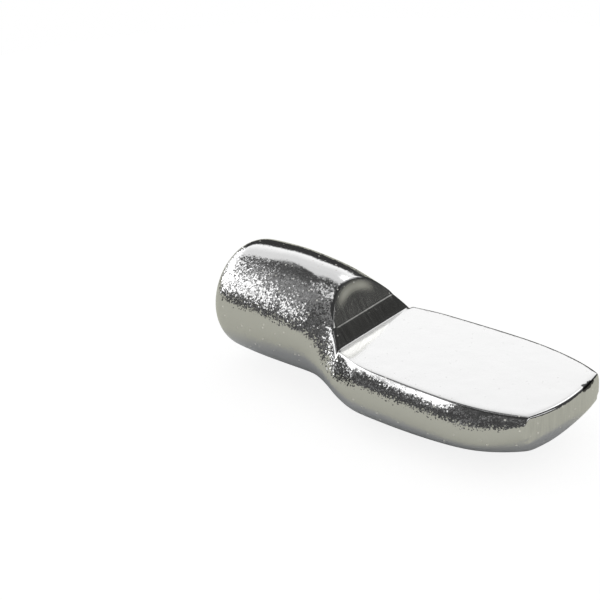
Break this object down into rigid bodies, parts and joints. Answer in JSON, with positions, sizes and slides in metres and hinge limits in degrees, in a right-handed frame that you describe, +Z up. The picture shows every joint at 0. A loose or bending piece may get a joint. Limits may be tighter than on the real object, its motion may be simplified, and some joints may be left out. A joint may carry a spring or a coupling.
{
  "type": "shelf support pin",
  "caption": "Spoon-style shelf support pin: a round shank pushed into a cabinet wall, with a shoulder and a flat deck over a boat-shaped belly that carries the shelf.",
  "frame": {"origin": "on the axis of the round shank in the plane of the wall, where the shank ends and the neck starts", "axes": "+X along the shank out of the wall towards the tip, +Y across the deck, +Z up, square to the deck"},
  "size_m": [0.0216, 0.009, 0.007],
  "materials": {
    "nickel_plate": "bright nickel plate with a fine grain"
  },
  "bodies": {
    "root": {"support_pin": "nickel_plate"}
  },
  "joints": []
}
